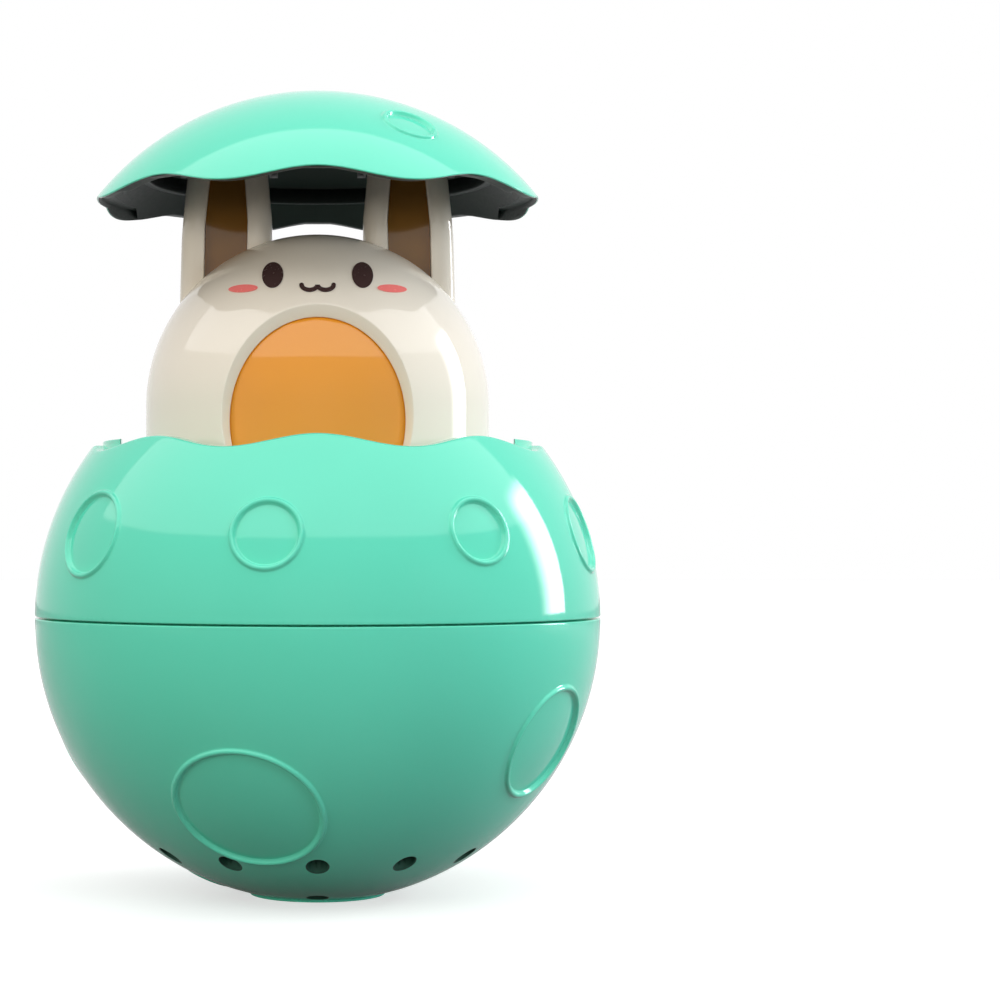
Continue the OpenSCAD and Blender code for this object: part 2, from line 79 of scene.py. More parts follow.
def linear(code):
    """Turns an sRGB hex colour into linear red, green, blue and an alpha of one."""
    part = np.array([int(code[i:i + 2], 16) for i in (1, 3, 5)]) / 255
    return (*np.where(part > 0.04045, ((part + 0.055) / 1.055) ** 2.4, part / 12.92), 1.0)


def add(tree, kind, inputs, **settings):
    """Adds one shader node: settings are its own choices, inputs are values or the sockets that feed it."""
    node = tree.nodes.new("ShaderNode" + kind)
    for name, value in settings.items():
        setattr(node, name, value)
    for name, value in inputs.items():
        if isinstance(value, bpy.types.NodeSocket):
            tree.links.new(value, node.inputs[name])
        else:
            node.inputs[name].default_value = value
    return node


def moulded(name, code, shade, gloss=0.06, shine=0.5, sink_mm=14, flow_mm=42, haze_mm=0.6):
    """A moulded plastic, glossy as from a polished mould unless told otherwise. Slow sink marks bend its
    reflections a little, the pigment runs a touch darker in flow streaks, and handling haze, drawn coarser
    than it is so that it shows, makes the gloss uneven."""
    material = bpy.data.materials.new(name)
    material.use_nodes = True
    tree = material.node_tree
    place = add(tree, "TexCoord", {}).outputs["Object"]
    flow = add(tree, "TexNoise", {"Vector": place, "Scale": 1000 / flow_mm, "Detail": 3.0})
    pigment = add(tree, "ValToRGB", {"Fac": flow.outputs["Fac"]})
    pigment.color_ramp.elements[0].position = 0.3
    pigment.color_ramp.elements[0].color = linear(shade)
    pigment.color_ramp.elements[1].position = 0.7
    pigment.color_ramp.elements[1].color = linear(code)
    haze = add(tree, "TexNoise", {"Vector": place, "Scale": 1000 / haze_mm, "Detail": 2.0})
    rough = add(tree, "MapRange",
                {"Value": haze.outputs["Fac"], "To Min": gloss * 0.8, "To Max": gloss * 1.25})
    sink = add(tree, "TexNoise", {"Vector": place, "Scale": 1000 / sink_mm, "Detail": 1.0})
    bump = add(tree, "Bump", {"Height": sink.outputs["Fac"], "Strength": 0.05, "Distance": 0.0006})
    shader = tree.nodes["Principled BSDF"]
    shader.inputs["Specular IOR Level"].default_value = shine
    tree.links.new(pigment.outputs["Color"], shader.inputs["Base Color"])
    tree.links.new(rough.outputs["Result"], shader.inputs["Roughness"])
    tree.links.new(bump.outputs["Normal"], shader.inputs["Normal"])
    return material


def bend(start, corner, end, steps=5):
    """Rounds a corner: points on the quadratic curve that leaves start towards corner and arrives at end."""
    start, corner, end = np.asarray(start), np.asarray(corner), np.asarray(end)
    t = np.linspace(0, 1, steps + 1).reshape(-1, *[1] * start.ndim)
    return (1 - t) ** 2 * start + 2 * t * (1 - t) * corner + t ** 2 * end


def turned(r, z, turn=loop_turn):
    """Carries radius and height round the axis: each row of r and z becomes one closed loop of points."""
    r, z, turn = np.broadcast_arrays(r, z, turn)
    return np.stack([r * np.cos(turn), r * np.sin(turn), z], -1)


def loft(loops):
    """Joins each closed loop to the next one with quads; loops is an array of loop, point and x, y, z."""
    rows, count = loops.shape[:2]
    ids = np.arange(rows * count).reshape(rows, count)
    near = np.roll(ids, -1, 1)
    return loops.reshape(-1, 3), [np.stack([ids[:-1], near[:-1], near[1:], ids[1:]], -1).reshape(-1, 4)]


def spun(profile):
    """Carries a profile, rows of radius and height, round the axis."""
    return loft(turned(profile[:, :1], profile[:, 1:]))


def spiral(radius, low, high, step):
    """Spreads points evenly over a ball from height low to high: equal steps in height cover equal areas,
    and each point turns on from the last by the golden angle."""
    count = int(2 * np.pi * radius * (high - low) / (cell_share * step ** 2))
    z = np.linspace(low, high, count)
    return turned(np.sqrt(radius ** 2 - z ** 2), z, golden_angle * np.arange(count))


def heading(place):
    """The outward direction of a crater's middle, from its angle past the front and its latitude."""
    side, up = np.radians(place[:2])
    return np.array([np.sin(side) * np.cos(up), -np.cos(side) * np.cos(up), np.sin(up)])


def crater(place):
    """Circles across a crater's rim, from outside in: flat egg, a round bead, then the sunk floor. Each
    circle lies at an angle from the crater's middle, and its height is added to the egg's radius."""
    arc = np.radians(np.linspace(20, 160, 9))
    before, behind = [2.3, 1.75, 1.3], [-1.3, -1.75, -2.4]
    across = bead_r * np.r_[before, np.cos(arc), behind]
    height = np.r_[0, 0, 0, bead_r * np.sin(arc), [-crater_sink] * 3][:, None, None]
    half = place[2] / 2
    lean = (np.arcsin(half / egg_r) + across / egg_r)[:, None, None]
    out = heading(place)
    east = np.cross([0, 0, 1], out) / np.hypot(*out[:2])
    turn = np.linspace(0, 2 * np.pi, int(2 * np.pi * half / rim_step), endpoint=False)[:, None]
    sideways = np.cos(turn) * east + np.sin(turn) * np.cross(out, east)
    return ((egg_r + height) * (np.cos(lean) * out + np.sin(lean) * sideways)).reshape(-1, 3)


def cratered(points, rings):
    """Sinks points on crater floors, drops those that lie where a rim goes, and adds the rims' own points."""
    radius = np.linalg.norm(points, axis=1)
    kept = np.ones(len(points), bool)
    floor = np.zeros(len(points), bool)
    for place in rings:
        away = egg_r * (np.arccos(points @ heading(place) / radius) - np.arcsin(place[2] / 2 / egg_r))
        kept &= abs(away) > rim_reach
        floor |= away < 0
    points = points * (1 - np.where(floor, crater_sink, 0) / radius)[:, None]
    return np.concatenate([points[kept], *[crater(place) for place in rings]])


def flat_ball(points, pole):
    """Lays a ball flat from one pole without changing angles: sideways distance over one plus the height."""
    ball = points / np.linalg.norm(points, axis=1, keepdims=True)
    return egg_r * ball[:, :2] / (1 + pole * ball[:, 2:])


def skin(points, loops, flat):
    """Joins points scattered over a round surface with triangles. The triangles are found on the points laid
    flat, loops stay as edges, and triangles with all corners on one loop are dropped: they fill a hole."""
    cloud = np.concatenate([points, *loops])
    owner = np.repeat(np.arange(len(loops) + 1), [len(points), *[len(loop) for loop in loops]])
    edges, first, same_place = [], len(points), 1e-7
    for loop in loops:
        ids = np.arange(first, first + len(loop))
        edges.append(np.stack([ids, np.roll(ids, -1)], 1))
        first += len(loop)
    corners, sources = delaunay_2d_cdt(flat(cloud), np.concatenate(edges), [], 0, same_place)[2:4]
    faces = np.array([ids[0] for ids in sources])[np.array(corners)]
    low, high = owner[faces].min(1), owner[faces].max(1)
    return cloud, [faces[(low == 0) | (low < high)]]


def piece(name, parts, materials, body, node):
    """Welds parts, each made of points, blocks of faces and perhaps a material number, into one mesh that
    takes the place of a node and rides on its body."""
    faces, paint, first, weld_m = [], [], 0, 2e-6
    for points, blocks, *number in parts:
        for block in blocks:
            faces += (block + first).tolist()
            paint += [number[0] if number else 0] * len(block)
        first += len(points)
    mesh = bpy.data.meshes.new(name)
    mesh.from_pydata((np.concatenate([part[0] for part in parts]) + [0, 0, seam]) / 1000, [], faces)
    mesh.polygons.foreach_set("material_index", np.array(paint, np.int32))
    work = bmesh.new()
    work.from_mesh(mesh)
    bmesh.ops.remove_doubles(work, verts=work.verts, dist=weld_m)
    bmesh.ops.recalc_face_normals(work, faces=work.faces)
    work.to_mesh(mesh)
    work.free()
    mesh.shade_smooth()
    for material in materials:
        mesh.materials.append(material)
    thing = bpy.data.objects.new(name, mesh)
    bpy.context.scene.collection.objects.link(thing)
    thing.modifiers.new("even shading", "WEIGHTED_NORMAL").keep_sharp = True
    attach(thing, body)
    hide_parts(node)


def drain_axes():
    """The x and y of each drain hole: even steps round each circle, from the front."""
    axes = []
    for circle_r, count in drain_circles:
        around = 2 * np.pi * np.arange(count) / count - np.pi / 2
        axes.append(circle_r * np.stack([np.cos(around), np.sin(around)], -1))
    return np.concatenate(axes)


def drain_loops(radius, grow):
    """The upright drain holes where they meet a ball: one loop of points per hole."""
    turn = np.linspace(0, 2 * np.pi, drain_points, endpoint=False)
    rim = (drain_r + grow) * np.stack([np.cos(turn), np.sin(turn)])
    x, y = drain_axes().T[:, :, None] + rim[:, None]
    return list(np.stack([x, y, -np.sqrt(radius ** 2 - x ** 2 - y ** 2)], -1))


def clear(points, hole_r):
    """True for points farther than hole_r from every drain hole's axis."""
    return np.linalg.norm(points[:, None, :2] - drain_axes(), axis=2).min(1) > hole_r


mint_abs = moulded("mint_ABS_moulded_gloss", "#5bddbf", "#57d9ba")
# The bores' dark green is painted shade: it stands in for the shadow inside the drain holes.
painted_shade_bore_abs = moulded("mint_ABS_painted_shade_bore", "#2c5246", "#284c41", gloss=0.45, shine=0.15)
foot_z = -(egg_r ** 2 - foot_r ** 2) ** 0.5
lip_r = (egg_r ** 2 - seam_edge ** 2) ** 0.5
floor_z = egg_wall - seam
floor_r = (in_r ** 2 - floor_z ** 2) ** 0.5
# Scattered points keep these distances from the loops that they are joined to.
foot_margin, seam_margin, drain_margin = 0.2, 0.6, 0.25
inner_margin, inner_drain_margin = 1.0, 0.8

spread = cratered(spiral(egg_r, foot_z + foot_margin, -seam_edge - seam_margin, fine), lower_rings)
spread = spread[clear(spread, drain_r + drain_edge + drain_margin)]
holes = drain_loops(egg_r, drain_edge)
outer = skin(spread, [turned(lip_r, -seam_edge), turned(foot_r, foot_z), *holes],
             lambda p: flat_ball(p, -1))
spread = spiral(in_r, floor_z + inner_margin, -spigot_h - inner_margin, coarse)
spread = spread[clear(spread, drain_r + inner_drain_margin)]
inner_holes = drain_loops(in_r, 0)
inner = skin(spread, [turned(step_r, -spigot_h), turned(floor_r, floor_z), *inner_holes],
             lambda p: flat_ball(p, -1))
# Each drain bore takes material number one, the bores' painted shade.
tubes = [(*loft(np.concatenate([bend(wide, mouth, mouth + [0, 0, drain_edge], 4), inside[None]])), 1)
         for wide, mouth, inside in zip(holes, drain_loops(egg_r, 0), inner_holes)]
foot = np.concatenate([
    [[0, -seam]],
    bend([foot_r - foot_edge, -seam], [foot_r, -seam], [foot_r, foot_edge - seam], 4),
    [[foot_r, foot_z]]])
lip = np.concatenate([
    bend([lip_r, -seam_edge], [egg_r, 0], [egg_r - seam_edge, 0]),
    [[spigot_r, 0]],
    bend([spigot_r, spigot_h - edge], [spigot_r, spigot_h], [spigot_r - edge, spigot_h]),
    bend([spigot_in_r + edge, spigot_h], [spigot_in_r, spigot_h], [spigot_in_r, spigot_h - edge]),
    [[spigot_in_r, -spigot_h], [step_r, -spigot_h]]])
floor_disc = np.array([[floor_r, floor_z], [0, floor_z]])
piece("lower_half_moulding", [outer, inner, *tubes, spun(foot), spun(lip), spun(floor_disc)],
      [mint_abs, painted_shade_bore_abs], "lower_half", "lower_shell")

# Upper half of the egg: the same glossy mint ABS, open at the top along a wavy rim with rounded edges.
# A thin tongue stands up from the rim at each side and lines the lid up when it comes down.
split_h, side_rise = 30.1, 0.1
wave_a, wave_deg = 1.05, 44.4
seam_gap = 0.3
rim_in_edge, seat_edge = 0.35, 0.3
tongue_x, tongue_t, tongue_edge = 33.6, 1.4, 0.25
tongue_rise, tongue_in = 0.9, 1.8
tongue_top = split_h + tongue_rise
tongue_r = (egg_r ** 2 - split_h ** 2) ** 0.5 - tongue_in
root_down, root_out, root_side, root_slope = 1.2, 0.8, 0.5, 1.1
upper_rings = ((-52.5, 17.3, 14.5), (-9.9, 17.2, 11.4), (33.6, 17.8, 10.9), (72.5, 17.3, 13.2),
               (116, 18, 12.5), (160, 17, 14), (-153, 18, 12), (-103, 17.2, 13))


def split_z(turn):
    """Height of the wavy split line: a cosine of the angle from the front or the back, which stays level
    once it has risen past its last trough at the sides."""
    lean = np.degrees(np.arcsin(np.cos(turn)))
    wave = split_h + wave_a * np.cos(2 * np.pi * lean / wave_deg)
    return np.where(abs(lean) < 1.5 * wave_deg, wave, np.minimum(wave, split_h + side_rise))


def over_split(points):
    """How far points lie above the split line."""
    return points[:, 2] - split_z(np.arctan2(points[:, 1], points[:, 0]))


def on_ball(radius, z, slide=0.0):
    """Radius and height of points on a ball that lie slide past the height z, measured along the ball."""
    up = np.arcsin(z / radius) + slide / radius
    return np.stack([radius * np.cos(up), radius * np.sin(up)])


def wavy_loops(*stages):
    """Chains stages of radius and height, each an array of step, (r, z) and point, into closed loops."""
    chain = np.concatenate([stage if stage.ndim == 3 else stage[None] for stage in stages])
    return turned(chain[:, 0], chain[:, 1])


def closed(loops):
    """Joins loops into a wall and closes its first and last loop with flat faces."""
    points, blocks = loft(loops)
    ends = np.arange(len(points)).reshape(loops.shape[:2])[[0, -1]]
    return points, [*blocks, ends]


def tongue(side):
    """A short arc of rim lining: a section with rounded top edges and a root that reaches into the wall,
    carried round until the sideways distance from the middle falls to where the tongue ends."""
    top, thin, root = tongue_top, tongue_r - tongue_t, split_h - wave_a - root_down
    section = np.concatenate([
        bend([tongue_r, top - tongue_edge], [tongue_r, top], [tongue_r - tongue_edge, top], 3),
        bend([thin + tongue_edge, top], [thin, top], [thin, top - tongue_edge], 3),
        [[thin, root], [tongue_r + root_out, root], [tongue_r + root_out, root + root_side],
         [tongue_r, root + root_slope]]])
    share = np.linspace(-1, 1, 61)[:, None]
    turn = share * np.arccos(tongue_x / section[:, 0]) + (0 if side > 0 else np.pi)
    return closed(turned(section[:, 0], section[:, 1], turn))


rim_z = split_z(loop_turn)
sit_z = np.full(loop_count, seam_gap)
outward = np.array([[1.0], [0.0]])
rim_out, rim_in = on_ball(egg_r, rim_z), on_ball(in_r, rim_z)
sit_out, sit_in = on_ball(egg_r, sit_z), on_ball(in_r, sit_z)
upper_body = wavy_loops(
    bend(on_ball(egg_r, rim_z, -edge), rim_out, rim_out - edge * outward),
    bend(rim_in + rim_in_edge * outward, rim_in, on_ball(in_r, rim_z, -rim_in_edge), 4),
    *[on_ball(in_r, rim_z * (1 - down) + seam_gap * down) for down in np.linspace(0.05, 0.97, 14)],
    bend(on_ball(in_r, sit_z, seat_edge), sit_in, sit_in + seat_edge * outward, 3),
    bend(sit_out - seam_edge * outward, sit_out, on_ball(egg_r, sit_z, seam_edge)))
seat_margin, rim_margin = 0.5, 0.45
spread = spiral(egg_r, seam_gap + seam_edge + seat_margin, split_h + wave_a, fine)
spread = cratered(spread[over_split(spread) < -edge - rim_margin], upper_rings)
outer = skin(spread, [upper_body[0], upper_body[-1]], lambda p: flat_ball(p, 1))
piece("upper_half_moulding", [outer, loft(upper_body), tongue(1), tongue(-1)],
      [mint_abs], "upper_half", "upper_shell")


# Guide cage: a mint ABS deck, sleeve and rails screwed inside the upper half, and its steel screws.
# They stay the plain mouldings and screws that they are, so only their finish is set here.
def finish(node, material):
    """Gives a node that stays as it was built its real finish."""
    slots = frame["nodes"][node].data.materials
    slots.clear()
    slots.append(material)


def rolled_steel(name, code, brush_mm):
    """Stainless steel, headed and rolled: streaks, drawn coarser than they are so that they show, make its
    soft grey shine uneven."""
    material = bpy.data.materials.new(name)
    material.use_nodes = True
    tree = material.node_tree
    place = add(tree, "TexCoord", {}).outputs["Object"]
    grain = add(tree, "TexNoise", {"Vector": place, "Scale": 1000 / brush_mm, "Detail": 4.0})
    rough = add(tree, "MapRange", {"Value": grain.outputs["Fac"], "To Min": 0.22, "To Max": 0.42})
    shader = tree.nodes["Principled BSDF"]
    shader.inputs["Base Color"].default_value = linear(code)
    shader.inputs["Metallic"].default_value = 1.0
    tree.links.new(rough.outputs["Result"], shader.inputs["Roughness"])
    return material


screw_steel = rolled_steel("stainless_steel_rolled", "#b9bcc0", brush_mm=0.4)
finish("guide_cage", mint_abs)
finish("cage_screws", screw_steel)

# Float: a white ABS base with a dull black silicone O-ring, screwed under the orange ABS core that holds air.
# The core's smooth dome shows through the rabbit's belly window; the mouldings stay as they were built.
white_abs = moulded("white_ABS_moulded_gloss", "#f2ebde", "#efe7d9")
orange_abs = moulded("orange_ABS_moulded_gloss", "#ef9d2c", "#ea9829")
silicone = moulded("black_silicone_moulded", "#2b2b2d", "#232325", gloss=0.5)
finish("float_base", white_abs)
finish("float_seal", silicone)
finish("base_screws", screw_steel)
finish("float_core", orange_abs)

# Rabbit shell: a glossy white ABS dome on a straight wall, fixed over the core.
# An oval window in its front has a broad bevelled edge and shows the core as the belly.
base_top, head_top = (end[2] * 1000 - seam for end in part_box("rabbit_shell"))
rabbit_r, rabbit_wall, base_edge = 30.5, 2.0, 0.3
rabbit_in_r = rabbit_r - rabbit_wall
dome_z = head_top - rabbit_r
belly_a, belly_b, belly_z = 14.8, 17.4, 19.1
belly_mid = base_top + belly_z
bevel_mid, bevel_swing = 1.4, 0.9
base_margin, top_margin, window_margin = 0.5, 0.002, 0.45
# The bevel's rounded edges: how deep each point of a curve lies, and its share of the bevel's width.
outer_round = ((0.0, 1.0), (0.0, 0.93), (0.12, 0.86))
inner_round = ((-0.25, 0.08), (-0.1, 0.0), (0.0, 0.0))


def bevel_width(angle):
    """Width of the bevel at an angle round the window: broad at the top and narrow at the foot."""
    return bevel_mid + bevel_swing * np.sin(angle)


def window(radius, grow):
    """The belly window's outline on a dome on a straight wall: an oval in the front view, grown by a share of
    the bevel."""
    wide = grow * bevel_width(loop_turn)
    x = (belly_a + wide) * np.cos(loop_turn)
    z = belly_mid + (belly_b + wide) * np.sin(loop_turn)
    return np.stack([x, -np.sqrt(radius ** 2 - x ** 2 - np.maximum(z - dome_z, 0) ** 2), z], -1)


def in_window(points, grow):
    """True for points inside the window's outline in the front view."""
    x, z = points[:, 0], points[:, 2] - belly_mid
    wide = grow * bevel_width(np.arctan2(z / belly_b, x / belly_a))
    return ((x / (belly_a + wide)) ** 2 + (z / (belly_b + wide)) ** 2 < 1) & (points[:, 1] < 0)


def flat_dome(points, radius):
    """Lays a dome flat from its top without changing angles; the wall follows outside it, each ring farther
    out by the same share for the same step down."""
    rise = (points[:, 2:] - dome_z) / radius
    return points[:, :2] * np.where(rise > 0, 1 / (1 + np.maximum(rise, 0)), np.exp(-np.minimum(rise, 0)))


def dome_skin(radius, grow, step):
    """A dome on a straight wall with the window left out: points at equal steps of height, which cover equal
    areas on dome and wall alike, each turned on by the golden angle."""
    low, top = base_top + base_edge, dome_z + radius
    count = int(2 * np.pi * radius * (top - low) / (cell_share * step ** 2))
    z = np.linspace(low + base_margin, top - top_margin, count)
    across = np.sqrt(radius ** 2 - np.maximum(z - dome_z, 0) ** 2)
    points = turned(across, z, golden_angle * np.arange(count))
    return skin(points[~in_window(points, grow + window_margin)],
                [window(radius, grow), turned(radius, low)], lambda p: flat_dome(p, radius))


base_high = base_top + base_edge
base_rim = np.concatenate([
    bend([rabbit_r, base_high], [rabbit_r, base_top], [rabbit_r - base_edge, base_top], 3),
    bend([rabbit_in_r + base_edge, base_top], [rabbit_in_r, base_top], [rabbit_in_r, base_high], 3)])
bevel = np.concatenate([
    bend(*[window(rabbit_r - deep, share) for deep, share in outer_round], 3),
    bend(*[window(rabbit_in_r - deep, share) for deep, share in inner_round], 3)])
piece("rabbit_dome_moulding",
      [dome_skin(rabbit_r, grow=1.0, step=0.9), dome_skin(rabbit_in_r, grow=0.0, step=2.0),
       loft(bevel), spun(base_rim)],
      [white_abs], "float", "rabbit_shell")

# Face: brown eyes and mouth and coral cheeks, pad-printed on the dome.
# The ink is a thin even skin that keeps the dome's shape and is a little duller than the plastic around it.
brown_ink = moulded("brown_pad_print", "#4a3736", "#453332", gloss=0.25)
coral_ink = moulded("coral_pad_print", "#ff8884", "#fd827e", gloss=0.25)
for node in ("left_eye", "right_eye", "mouth"):
    finish(node, brown_ink)
for node in ("left_cheek", "right_cheek"):
    finish(node, coral_ink)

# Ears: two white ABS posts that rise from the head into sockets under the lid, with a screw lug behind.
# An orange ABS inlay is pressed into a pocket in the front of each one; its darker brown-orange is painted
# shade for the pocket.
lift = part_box("lid")[1][2] * 1000 - seam - egg_r
ear_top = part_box("left_ear")[1][2] * 1000 - seam
ear_x, ear_lean = 16.9, 1.0
ear_w, ear_mid_w, ear_top_w = 18.0, 16.1, 13.2
ear_front, ear_back, ear_round = -2.0, 7.5, 3.0
ear_d = ear_back - ear_front
ear_mid_z = head_top + ear_d / 4
ear_sink = 0.8
socket_h, inlay_round = 5.0, 1.4
pocket_half, pocket_d, pocket_round, pocket_edge = 3.8, 3.0, 1.5, 0.3
pocket_z = ear_top - socket_h - inlay_round
lug_r, lug_t, lug_edge, lug_reach = 2.9, 2.4, 0.25, 1.8
screw_len = 9.0
lug_x, lug_y = ear_x - ear_lean, ear_back + lug_r
lug_low = lift + (in_r ** 2 - lug_x ** 2 - lug_y ** 2) ** 0.5 - screw_len
lug_top = lug_low + lug_t


def ear(side):
    """A rounded rectangle carried up from the dome to the ear's top, with a notch in its front for the inlay.
    The notch narrows as the ear does and closes along a flat arc; the lowest sections follow the dome."""
    root_z = dome_z + (rabbit_r ** 2 - ear_x ** 2) ** 0.5
    z = np.concatenate([np.linspace(root_z, pocket_z, 40, endpoint=False),
                        pocket_z + pocket_round * np.sin(np.linspace(0, np.pi / 2, 14)),
                        np.linspace(pocket_z + pocket_round + pocket_edge, ear_top, 6)])[:, None]
    none = np.zeros_like(z)
    wide = np.interp(z, [dome_z, ear_mid_z, ear_top], [ear_w, ear_mid_w, ear_top_w]) / 2
    arc = np.clip((z - pocket_z) / pocket_round, 0, 1)
    narrow = np.interp(z, [ear_mid_z, pocket_z], [1, ear_top_w / ear_mid_w])
    notch = pocket_half * narrow * np.sqrt(1 - arc ** 2)
    deep = np.where(notch > 0, pocket_d, 0)
    soft = np.minimum(pocket_edge, notch)
    turn = np.radians(np.linspace(0, 90, 8))
    x = np.concatenate([none, notch / 2, notch, notch, notch + 0.15 * soft, notch + 0.5 * soft, notch + soft,
                        wide - ear_round + ear_round * np.sin(turn),
                        wide - ear_round + ear_round * np.cos(turn), none], 1)
    y = np.concatenate([deep, deep, deep, soft, 0.5 * soft, 0.15 * soft, none,
                        none + ear_round * (1 - np.cos(turn)),
                        none + ear_d - ear_round * (1 - np.sin(turn)), none + ear_d], 1) + ear_front
    x = np.concatenate([x, -x[:, -2:0:-1]], 1) + side * np.interp(z, [dome_z, ear_top], [ear_x, lug_x])
    y = np.concatenate([y, y[:, -2:0:-1]], 1)
    sunk = dome_z + np.sqrt((rabbit_r - ear_sink) ** 2 - x ** 2 - y ** 2)
    low = (1 - (z - root_z) / (ear_top - root_z)) ** 3
    return closed(np.stack([x, y, z + (sunk - root_z) * low], -1))


def lug(side):
    """The screw lug: a tab with a round end behind the ear, its upper and lower edges rounded."""
    turn = np.radians(np.linspace(0, 180, 25))
    plan = np.concatenate([np.stack([np.cos(turn), np.sin(turn)], -1), [[-1, -lug_reach], [1, -lug_reach]]])
    soft = lug_edge * np.array([0, 0.28, 1])
    inset = np.r_[soft[::-1], soft][:, None]
    z = np.r_[lug_low + soft, lug_top - soft[::-1]][:, None]
    x = side * lug_x + (lug_r - inset) * plan[:, 0]
    y = lug_y + (lug_r - inset) * plan[:, 1]
    return closed(np.stack(np.broadcast_arrays(x, y, z), -1))


for side, name in ((-1, "left_ear"), (1, "right_ear")):
    piece(name + "_moulding", [ear(side), lug(side)], [white_abs], "float", name)
# The inlays' brown-orange is the core's orange darkened as painted shade in the ear pockets.
painted_shade_inlay_abs = moulded("orange_ABS_painted_shade_inlay", "#87602c", "#805a28")
finish("left_ear_inlay", painted_shade_inlay_abs)
finish("right_ear_inlay", painted_shade_inlay_abs)

# Lid: the egg's top, a glossy mint ABS cap with the same wavy edge, screwed to the ears that carry it.
# Under it a collar and two sockets hold the ears; its inner side is painted dull dark charcoal as the shade
# under the lid, and the rim is cut back at both sides where it comes down over the upper half's tongues.
lid_gap, tongue_gap = 0.6, 0.3
lid_rings = ((32.7, 54.7, 9.1), (-128, 70, 11), (-106, 48, 10), (152, 64, 11), (-150, 50, 10),
             (104, 50, 10.5))
collar_r, collar_in_r, collar_edge, collar_up = 31.5, 29.9, 0.3, 4.4
collar_low = split_h + collar_up
socket_wall, socket_gap = 1.5, 0.2
socket_low = ear_top - socket_h
wall_bite = 0.3


def raised(part, paint=0):
    """Lifts a part of the lid to where the ears hold it."""
    return (part[0] + [0, 0, lift], part[1], paint)


def under_lid(x, y):
    """Heights at which upright walls end, a little inside the lid's wall."""
    return np.sqrt(in_r ** 2 - x ** 2 - y ** 2) + wall_bite


def upright(plan, low):
    """A wall or post with the given plan, from a height up into the lid's wall."""
    x, y = plan[:, 0], plan[:, 1]
    return closed(np.stack([np.stack([x, y, np.full(len(plan), low)], -1),
                            np.stack([x, y, under_lid(x, y)], -1)]))


def socket(side):
    """A wall of even thickness round the front and sides of an ear's top, open behind for the lug."""
    half = np.interp(socket_low, [ear_mid_z, ear_top], [ear_mid_w, ear_top_w]) / 2 + socket_gap
    front, back = ear_front - socket_gap, ear_back + socket_gap
    wide, ahead = half + socket_wall, front - socket_wall
    plan = np.array([[-wide, ahead], [wide, ahead], [wide, back], [half, back],
                     [half, front], [-half, front], [-half, back], [-wide, back]])
    plan[:, 0] += side * np.interp(socket_low, [dome_z, ear_top], [ear_x, lug_x])
    return upright(plan, socket_low - lift)


def post(side):
    """The round screw post over an ear's lug."""
    turn = np.linspace(0, 2 * np.pi, 40, endpoint=False)
    plan = np.stack([side * lug_x + lug_r * np.cos(turn), lug_y + lug_r * np.sin(turn)], -1)
    return upright(plan, lug_top - lift)


# The lid's inner side is painted dark charcoal: painted shade under the lid, on the same moulding as the mint
# cap.
painted_shade_dark_abs = moulded("charcoal_painted_shade_lid_inside", "#2b3231", "#272e2d", gloss=0.45, shine=0.15)
lid_z = rim_z + lid_gap
edge_out = on_ball(egg_r, lid_z)
lid_edge = wavy_loops(bend(on_ball(egg_r, lid_z, edge), edge_out, edge_out - edge * outward))
# The relief: a cut out to relief_r and up to roof_z, from a straight upright end at cut_r on each side.
least_rim, least_slope, sharp_edge = 0.1, 0.01, 0.02
relief_r = np.minimum(edge_out[0] - edge - least_rim, tongue_r + tongue_gap)
roof_z = tongue_top + lid_gap
cut_r = (tongue_x - tongue_gap) / abs(np.cos(loop_turn)).clip(least_slope)
relieved = cut_r < relief_r
top_z = np.where(relieved, roof_z, lid_z)
end_r = cut_r.clip(on_ball(in_r, roof_z)[0], relief_r)
inner_z = np.sqrt(in_r ** 2 - cut_r.clip(0, in_r) ** 2).clip(lid_z, roof_z)
edge_in = on_ball(in_r, inner_z)
in_edge = np.where(relieved, sharp_edge, rim_in_edge)
lid_inner = wavy_loops(
    edge_out - edge * outward, np.stack([relief_r, lid_z]), np.stack([relief_r, top_z]),
    np.stack([end_r, top_z]), np.stack([end_r, inner_z]),
    bend(edge_in + in_edge * outward, edge_in, on_ball(in_r, inner_z, in_edge), 4),
    *[on_ball(in_r, inner_z * (1 - up) + in_r * up) for up in np.linspace(0.05, 1, 18)])
lid_margin, pole_margin = 0.35, 0.01
spread = spiral(egg_r, split_h - wave_a, egg_r - pole_margin, fine)
spread = cratered(spread[over_split(spread) > lid_gap + edge + lid_margin], lid_rings)
outer = skin(spread, [lid_edge[0]], lambda p: flat_ball(p, 1))
collar_in_top, collar_high = [collar_in_r, under_lid(collar_in_r, 0)], collar_low + collar_edge
collar = np.concatenate([
    [collar_in_top],
    bend([collar_in_r, collar_high], [collar_in_r, collar_low], [collar_in_r + collar_edge, collar_low], 3),
    bend([collar_r - collar_edge, collar_low], [collar_r, collar_low], [collar_r, collar_high], 3),
    [[collar_r, under_lid(collar_r, 0)], collar_in_top]])
# The parts under the lid take material number one, the lid's painted shade.
inside = [loft(lid_inner), spun(collar), socket(-1), socket(1), post(-1), post(1)]
piece("lid_moulding", [raised(outer), raised(loft(lid_edge)), *[raised(part, 1) for part in inside]],
      [mint_abs, painted_shade_dark_abs], "float", "lid")
finish("lid_screws", screw_steel)

# Studio: a plain pale floor that shows white, a broad soft sky above the front, a strip lamp at the right,
# soft lamps in front and behind, and a camera straight in front of the egg with its frame moved sideways.
# The floor's reach and the lamps' places and sizes are in metres.
reach = 3
floor_mesh = bpy.data.meshes.new("pale_floor")
floor_mesh.from_pydata([(-reach, -reach, 0), (reach, -reach, 0), (reach, reach, 0), (-reach, reach, 0)],
                       [], [(0, 1, 2, 3)])
floor = bpy.data.objects.new("pale_floor", floor_mesh)
bpy.context.scene.collection.objects.link(floor)


